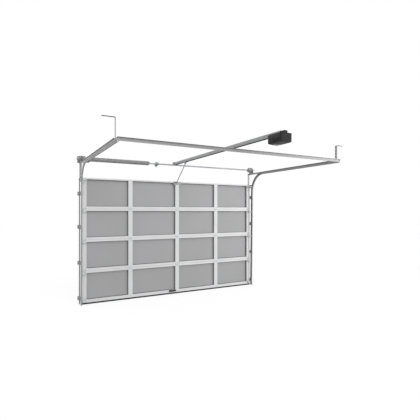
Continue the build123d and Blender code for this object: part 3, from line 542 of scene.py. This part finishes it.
# Roller stems and races, and the shaft over the door: cold drawn steel, bright, with faint marks
# along the draw.
bright_tube, tree, shader, place = finish("drawn_tube", "#8B8D90", 0.36, metallic=0.85)
vary(tree, shader, place, 30, "#83858A", "#95979A", squeeze=(0.1, 1, 1))
dress(bright_tube, "torsion_shaft")
race = turned([(-5, 6), (-5, 11), (-3.5, 12), (3.5, 12), (5, 11), (5, 6)], 24)
stem = turned([(-86, 0), (-86, 4.6), (-85, 5.5), (4.5, 5.5), (5.5, 4.8), (5.5, 0)], 20)
shell("roller_stems", [(both_sides(race, hubs), True, True), (both_sides(stem, hubs), False, True)],
      bright_tube)

# Bearings of the shaft: steel races with a seal between them, in the end plates and the middle bracket.
shaft_y, shaft_z, bore = -86.0, z0 + 2489.345, 12.8
ring = turned([(0, 12.9), (0, 24.5), (0.6, 25.2), (1.0, 24.5), (1.0, 21.5), (0.3, 20.5), (0.3, 16.5),
               (1.0, 15.8), (1.0, 12.9)], 40)
shell("bearing_races", [(both_sides(ring, mirrored([(1794.0, shaft_y, shaft_z)])), True, True),
                        (placed(ring * (1, 0.86, 0.86), [(-373.5, shaft_y, shaft_z)]), True, True)],
      bright_tube, (), 40)

# Torsion spring: one 6 mm wire, hardened in oil, which leaves it grey with a dull shine, wound in 158
# turns over the shaft. Centre line: (x0 + length t, R cos 2 pi t, R sin 2 pi t); the wire is a circle
# carried along it.
oiled_wire, tree, shader, place = finish("oil_tempered_wire", "#989898", 0.38, metallic=0.6)
vary(tree, shader, place, 25, "#919191", "#A0A0A0")
dress(oiled_wire, "torsion_spring")
turns, wire_r, coil_r, spring_left, spring_long = 158.0, 3.0, 35.5, -1592.0, 1000.0
t = np.linspace(0, turns, int(turns * 22))[:, None]
v = np.linspace(0, 2 * np.pi, 7, endpoint=False)[None]
radius = coil_r + wire_r * np.cos(v)
coil = np.stack((spring_left + wire_r + (spring_long - 2 * wire_r) * t / turns + wire_r * np.sin(v),
                 shaft_y + radius * np.cos(2 * np.pi * t), shaft_z + radius * np.sin(2 * np.pi * t)), -1)
ends = np.repeat(coil.mean(1, keepdims=True)[[0, -1]], coil.shape[1], 1)
coil = np.concatenate((ends[:1], coil, ends[1:]))
shell("spring_coil", [(coil, False, True)], oiled_wire, ("torsion_spring",), 60)


# Cones: cast aluminium plugs threaded into both ends of the spring, grey and grainy from the mould.
# The right one winds it: four sockets take the winding bars.
def spun(shape, angles):
    """A shape whose axis points away from the shaft, at each angle round it, over the winding cone."""
    spin = np.radians(angles)[:, None, None]
    a, u, v = shape[None, ..., 0], shape[None, ..., 1], shape[None, ..., 2]
    return np.stack((wind_x + 27 + u + 0 * spin, shaft_y + a * np.cos(spin) - v * np.sin(spin),
                     shaft_z + a * np.sin(spin) + v * np.cos(spin)), -1)


cast, tree, shader, place = finish("cast_aluminium", "#8F8F90", 0.5, metallic=0.7)
vary(tree, shader, place, 8, "#868687", "#989899")
relief(tree, shader, place, 3.0, 0.1)
dress(cast, "cable_drums", "stationary_cone", "winding_cone")
anchor_x, wind_x = spring_left, spring_left + spring_long
fixed = turned([(-22, bore), (-22, 38.5), (-20.5, 40.3), (-2, 40.3), (0, 38), (2, 32), (40, 31.5),
                (41, 30), (41, bore)], 48)
wound = turned([(-41, bore), (-41, 30), (-40, 31.5), (-2, 32), (0, 38), (1.5, 40.3), (10.5, 40.3),
                (12, 38.5), (13, 27), (15, 25), (40, 25), (42, 23.5), (42, bore)], 48)
socket = turned([(20, 8.5), (31, 8.5), (32, 7.6), (32, 6.4), (24, 6.2), (24, 0)], 20)
shell("spring_cones", [(placed(fixed, [(anchor_x, shaft_y, shaft_z)]), False, True),
                       (placed(wound, [(wind_x, shaft_y, shaft_z)]), False, True),
                       (spun(socket, 45 + 90 * np.arange(4)), False, True)],
      cast, ("stationary_cone", "winding_cone"), 40)

# Set screws: two with hexagon heads, which lock the winding cone to the shaft.
peg = turned([(22, 4.2), (30, 4.2), (30, 5.4, 1), (35, 5.4, 1), (36, 4.6, 1), (36, 0)], 12)
shell("set_screws", [(spun(peg, 90 * np.arange(2)), False, True)], zinc)

# Cable drums: cast aluminium, with a helical groove for the cable and a dished outer side.
# Radius of the grooved part: 50 - 1.5 (1 - cos(2 pi x / pitch - t)), so that the groove winds on.
across = np.linspace(20, 70, 61)
t = np.linspace(0, 2 * np.pi, 49)[:-1]
groove = 50 - 1.5 * (1 - np.cos(2 * np.pi * across[:, None] / 10 - t[None]))
inner = turned([(-18, bore), (-18, 23.5), (-16.5, 25), (-2, 25), (0, 27), (1, 45), (2, 47), (19, 47)], 48)
outer = turned([(72, 52), (73, 53), (75, 53), (75, 46), (71, 44), (70, 27), (75, 24), (75, bore)], 48)
body = np.stack((np.repeat(across[:, None], 48, 1), groove * np.cos(t), groove * np.sin(t)), -1)
drum = np.concatenate((inner, body, outer))
shell("drum_castings", [(both_sides(drum, mirrored([(1689.0, shaft_y, shaft_z)])), False, True)],
      cast, ("cable_drums",), 40)


# Lift cables: 3 mm galvanised steel rope of six strands, wound on the drum, taut down the edge of
# the curtain and looped round the bottom bracket's button. The lay is 25 mm; drawn 50 mm long.
def rope(line, radius, columns, strands=0, lay=50.0, across=(1, 0, 0)):
    """A tube along a line: line + r (cos t A + sin t B), with A the across axis square to the line and
    B = way x A. With strands, r swells by 0.12 cos(strands t - 2 pi length / lay)."""
    line = np.asarray(line, float)
    way = np.gradient(line, axis=0)
    way /= np.linalg.norm(way, axis=1, keepdims=True)
    a = np.array(across, float) - way * (way @ np.array(across, float))[:, None]
    a /= np.linalg.norm(a, axis=1, keepdims=True)
    b = np.cross(way, a)
    along = np.concatenate(([0], np.cumsum(np.linalg.norm(np.diff(line, axis=0), axis=1))))
    t = np.linspace(0, 2 * np.pi, columns, endpoint=False)
    twist = np.cos(strands * t[None] - 2 * np.pi * along[:, None] / lay) if strands else 0 * t[None]
    r = (np.atleast_1d(radius) * np.ones(len(line)))[:, None] * (1 + 0.12 * twist)
    skin = line[:, None] + r[..., None] * (np.cos(t)[:, None] * a[:, None] + np.sin(t)[:, None] * b[:, None])
    return np.concatenate((line[:1, None] + 0 * skin[:1], skin, line[-1:, None] + 0 * skin[-1:]))


cable_x, wrap_r, wraps_on = 1756.0, 51.6, 1.8
wind = np.linspace(2 * np.pi * wraps_on, 0, 60)
wraps = np.stack((cable_x - 10 * wind / (2 * np.pi), shaft_y + wrap_r * np.cos(wind),
                  shaft_z + wrap_r * np.sin(wind)), -1)
fall = np.stack((np.full(300, cable_x), np.linspace(shaft_y + wrap_r, -40.0, 300),
                 np.linspace(shaft_z, pin_z + 60, 300)), -1)
eye = np.radians(np.linspace(60, -240, 22))
eyelet = np.stack((np.full(22, cable_x), pin_y + 7 * np.cos(eye), pin_z + 7 * np.sin(eye)), -1)
back = np.stack((np.full(6, cable_x), np.linspace(-46, -43.5, 6), np.linspace(pin_z + 18, pin_z + 60, 6)), -1)
steel_rope, tree, shader, place = finish("steel_rope", "#8E9092", 0.45, metallic=0.6)
vary(tree, shader, place, 6, "#7E8082", "#9C9EA0")
cable = rope(np.concatenate((wraps, fall[1:], eyelet, back)), 1.5, 12, 6)
shell("cable_ropes", [(np.stack((cable, cable * (-1, 1, 1))), False, True)], steel_rope,
      ("lift_cables",), 60)

# Cable sleeves: plated ferrules pressed round both parts of the rope above the eye.
sleeve_h = pin_z + 22 + np.array([0, 0.5, 4, 12, 20, 23.5, 24.0])
sleeve = rope(np.stack((np.full(7, cable_x), np.full(7, -42.0), sleeve_h), -1),
              np.array([3.2, 4.2, 4.4, 4.0, 4.4, 4.2, 3.2]), 14)
shell("cable_sleeves", [(np.stack((sleeve, sleeve * (-1, 1, 1))), False, True)], zinc, (), 60)

# Lag screws into the wall and the ceiling: M8 hexagon heads with washers, smaller ones in the wall
# angles and the feet of the track brackets.
DOWNWARDS = np.array([(0, 0, -1), (0, 1, 0), (1, 0, 0)], float)
lag = turned([(0, 8.6), (1.4, 8.6), (1.6, 8), (1.6, 7.4, 1), (6.6, 7.4, 1), (7.6, 6.4, 1), (7.6, 0)], 12)
small_lag = lag * (0.8, 0.68, 0.68)
walls = [mirrored([(1754.0, -5, z0 + h) for h in (2206.0, 2286.0, angle_top - 17.5)]),
         mirrored([(1796.0, -3, shaft_z + h) for h in (-30.0, 30.0)]),
         np.array([(-385.0, -3, shaft_z - 40), (-385.0, -3, shaft_z + 40), (-1640.0, -3, shaft_z - 30),
                   (-1640.0, -3, shaft_z + 30), (-33.0, -4, 0), (33.0, -4, 0)])]
angles = mirrored([(1777.5, -3, z0 + h) for h in (205.0, 770.0)] + [(1797.0, -6, z0 + h) for h in bracket_h])
feet = mirrored([(x, -2404.0, z0 + track_h + 260) for x in (1831.0, 1901.0)])
shell("lag_screws", [(placed(lag, np.concatenate(walls), INTO_ROOM), False, True),
                     (placed(small_lag, angles, INTO_ROOM), False, True),
                     (placed(lag, feet, DOWNWARDS), False, True)], zinc, (), 40)

# Opener rail and trolley: rail of 2 mm steel rolled to a C, its slot downwards, from the header pin
# to the motor head, stove enamelled light grey.
rail_enamel, tree, shader, place = finish("rail_enamel_grey", "#B6B7B9", 0.55,
                                          **{"Specular IOR Level": 0.3})
vary(tree, shader, place, 200, "#B1B2B4", "#BBBCBE")
dress(rail_enamel, "opener_rail", "trolley")
# The slot is wide so that more of the black belt shows under the rail: painted shade there.
cee = bent([(-12, -21), (-19, -21), (-19, 26), (19, 26), (19, -21), (12, -21)], 3, 4)
shell("rail_channel", rolled(cee, 2.0, [(0, -14.0, 0), (0, -3156.0, 0)], [(1, 0, 0)] * 2, [(0, 0, 1)] * 2),
      rail_enamel, ("opener_rail",), 50)

# Belt of the opener: one rubber loop, 15 by 5 mm, round a pulley at the front of the rail and the
# sprocket under the cover. Its upper run is inside the rail and its lower run just below, where its
# black also stands for the shade under the rail: partly the belt, partly painted shade.
front_y, rear_y, half, belt_z = -84.0, -3140.0, 20.0, -6.5
arc = np.linspace(-np.pi / 2, np.pi / 2, 13)
loop = np.concatenate((np.stack((front_y + half * np.cos(arc), belt_z + half * np.sin(arc)), -1),
                       np.stack((rear_y - half * np.cos(arc), belt_z - half * np.sin(arc)), -1)))
loop = np.concatenate((loop, loop[:1]))
shell("drive_belt_and_painted_shade", rolled(loop, 5.0, [(-7.5, 0, 0), (7.5, 0, 0)], [(0, 1, 0)] * 2, [(0, 0, 1)] * 2),
      rubber, (), 50)
pulley = turned([(-7.8, 4.5), (-7.8, 17), (-7.4, 17.4), (-6.8, 17), (-6.6, 15.6), (6.6, 15.6), (6.8, 17),
                 (7.4, 17.4), (7.8, 17), (7.8, 4.5)], 32)
shell("belt_pulley", [(placed(pulley, [(0, front_y, belt_z)]), True, True)], roller_nylon,
      (), 40)


# Motor head: a shell of charcoal ABS with a fine spark texture from the mould, drawn 2.5 mm across,
# in two halves whose seam shows. Its corners are round and it draws in to the bottom along a quarter
# circle of 14 mm.
def rounded_box(half_x, half_y, power, columns):
    """Outline |x / half_x| ^ power + |y / half_y| ^ power = 1, a rectangle with round corners."""
    t = np.linspace(0, 2 * np.pi, columns, endpoint=False)
    c, s = np.cos(t), np.sin(t)
    r = (np.abs(c / half_x) ** power + np.abs(s / half_y) ** power) ** (-1 / power)
    return np.stack((r * c, r * s), -1)


charcoal, tree, shader, place = finish("housing_charcoal_abs", "#1F1F20", 0.62,
                                       **{"Specular IOR Level": 0.3})
relief(tree, shader, place, 2.5, 0.08)
dress(charcoal, "motor_housing", "drive_cover")
motor_top, motor_deep, motor_y, motor_half_x, motor_half_y = -14.0, 107.0, -3123.0, 89.0, 127.0
bottom_r, to_middle = 14, 88.0
bend = np.linspace(0, np.pi / 2, 7)
drop = np.concatenate(([0.0, 0.0, 2.0, 57, 57.6, 59.4, 60], motor_deep - bottom_r + bottom_r * np.sin(bend),
                       [motor_deep]))
inset = np.concatenate(([to_middle, 1.5, 0.0, 0, 1.2, 1.2, 0], bottom_r * (1 - np.cos(bend)), [to_middle]))
half = np.stack((motor_half_x - inset,
                 motor_half_y - inset * 126.0 / to_middle * (inset > 50) - inset * (inset <= 50)), -1)
motor_skin = np.concatenate((rounded_box(1, 1, 9, 96)[None] * half[:, None] + (0, motor_y),
                             np.repeat((motor_top - drop)[:, None, None], 96, 1)), -1)
shell("motor_shell", [(motor_skin, False, True)], charcoal, ("motor_housing",), 40)

# Louvres: raised ribs moulded along both sides of the shell, over the vents of the motor.
louvre = slab(pad(30, 4.4, 2.1), 1.8, 0.6) @ np.array([(1, 0, 0), (0, 0, 1), (0, 1, 0)], float)
louvre_spots = mirrored([(88.4, y, motor_top - 78) for y in np.arange(-3206.0, -3100.0, 9.0)])
shell("motor_louvres", [(both_sides(louvre, louvre_spots), False, True)],
      charcoal, (), 40)

# Drive cover: a moulded cap over the sprocket at the end of the rail, with drafted sides.
levels = np.array([(0.0, 1.0), (26.0, 0.97), (29.5, 0.93), (30.5, 0.84), (30.5, 0.0)])
cap = rounded_box(28, 44, 7, 64)[None] * levels[:, None, 1:] + (0, -3196)
cap = np.concatenate((cap, np.repeat((motor_top + levels[:, 0])[:, None, None], 64, 1)), -1)
shell("sprocket_cap", [(cap, False, True)], charcoal, ("drive_cover",), 40)

# Lens: a cap of white acrylic under the front of the head, with ribs along it that scatter the
# lamp. Its mid grey is painted shade, for the shade under the head. Depth: 9 mm times the root of
# the fall at the edges, with ribs of 0.5 (cos(2 pi x / 6) - 1).
lens_shade_grey, tree, shader, place = finish("lens_acrylic_painted_shade", "#858585", 0.4)
relief(tree, shader, place, 5.0, 0.2)
dress(lens_shade_grey, "light_lens")
u = np.linspace(-1, 1, 65)[:, None]
v = np.linspace(-1, 1, 41)[None]
edge_fall = np.clip(1 - np.abs(u) ** 14, 0, 1) * np.clip(1 - np.abs(v) ** 14, 0, 1)
ribs = 0.5 * (np.cos(48 * u * np.pi / 3) - 1) * -edge_fall
cap = np.stack((48 * u + 0 * v, -3052 + 31 * v + 0 * u,
                motor_top - motor_deep - 9 * edge_fall ** 0.5 + ribs), -1)
shell("ribbed_lens", [(cap, False, False)], lens_shade_grey, ("light_lens",), 50)

# Opener arm: two 2.8 mm steel straps with pressed ribs, lapped in the middle and held by two bolts.
foot_pin, top_pin = np.array([0, -105.0, z0 + 2158]), np.array([0, -490.0, -44.0])
span = np.linalg.norm(top_pin - foot_pin)
_, dy, dz = (top_pin - foot_pin) / span
swing = np.array([(1, 0, 0), (0, dy, dz), (0, -dz, dy)])
strap = slab(pad(0.6 * span + 13, 26, 12.9), 2.8, 0.5)
rib = slab(pad(0.32 * span, 8, 3.9), 1.6, 1.2)
centre = (foot_pin + top_pin) / 2
low_end, high_end = (centre + shift * swing[1] for shift in (-0.2 * span - 6.5, 0.2 * span + 6.5))
laps = np.stack([centre + shift * span * swing[1] for shift in (-0.06, 0.06)])
shell("arm_straps", [
    (placed(strap, [low_end + (-2.9, 0, 0), high_end + (0.1, 0, 0)], swing), False, True),
    (placed(rib, [high_end + 0.03 * span * swing[1] + (2.7, 0, 0)], swing), False, True),
    (placed(rib, [low_end - 0.03 * span * swing[1] + (-2.7, 0, 0)], swing * ((-1,), (1,), (1,))),
     False, True)],
      galvanised, ("opener_arm",), 40)
shell("arm_bolts", [(placed(nut, laps + (2.9, 0, 0)), False, True),
                    (placed(dome, laps + (-2.9, 0, 0)), False, True)], zinc, (), 40)

# Pins of the opener's linkage: through the header bracket, the trolley and the arm bracket, each with
# a head, a washer and a split ring.
clevis = turned([(-1, 0), (-1, 6.5), (1.6, 7.2), (2.6, 7.2), (2.6, 5), (1, 5)], 20)
tail = turned([(0, 3.8), (0, 8), (1.6, 8), (1.6, 3.8), (6, 3.8), (6.6, 3.2), (6.6, 0)], 20)
pin_heads = np.array([(27.0, -42, 0), (14.0, *top_pin[1:]), (11.0, *foot_pin[1:])])
shell("linkage_pins", [(placed(clevis, pin_heads), False, True),
                       (placed(tail, pin_heads * (-1, 1, 1), np.diag((-1.0, 1.0, 1.0))), False, True)],
      zinc, (), 40)

# Handle: a bow of black nylon, about 19 mm thick, moulded in one with its base plate, its surface
# finely grained, and held by two pan head screws.
nylon_black, tree, shader, place = finish("handle_nylon_black", "#19191A", 0.55)
relief(tree, shader, place, 3.0, 0.05)
dress(nylon_black, "lift_handle")
handle_x, handle_z = -75, z0 + 64
bow = bent([(-58, -64, 0), (-58, -94, 0), (58, -94, 0), (58, -64, 0)], 20, 8) + (handle_x, 0, handle_z)
grip = rope(bow, np.array([11.5, 10.4] + [9.6] * (len(bow) - 4) + [10.4, 11.5]), 20, across=(0, 0, 1))
base = placed(slab(pad(150, 34, 8), 3.0, 0.8), [(handle_x, room_face, handle_z)], INTO_ROOM)
shell("handle_bow", [(grip, False, True), (base, False, True)], nylon_black,
      ("lift_handle",), 40)
pan = turned([(0, 4.2), (0.6, 4.2), (1.8, 3.2), (2.3, 1.6), (1.4, 0)], 16)
shell("handle_screws", [(placed(pan, [(handle_x + x, room_face - 3, handle_z) for x in (-70, 70)], INTO_ROOM),
                         False, True)], zinc, (), 40)
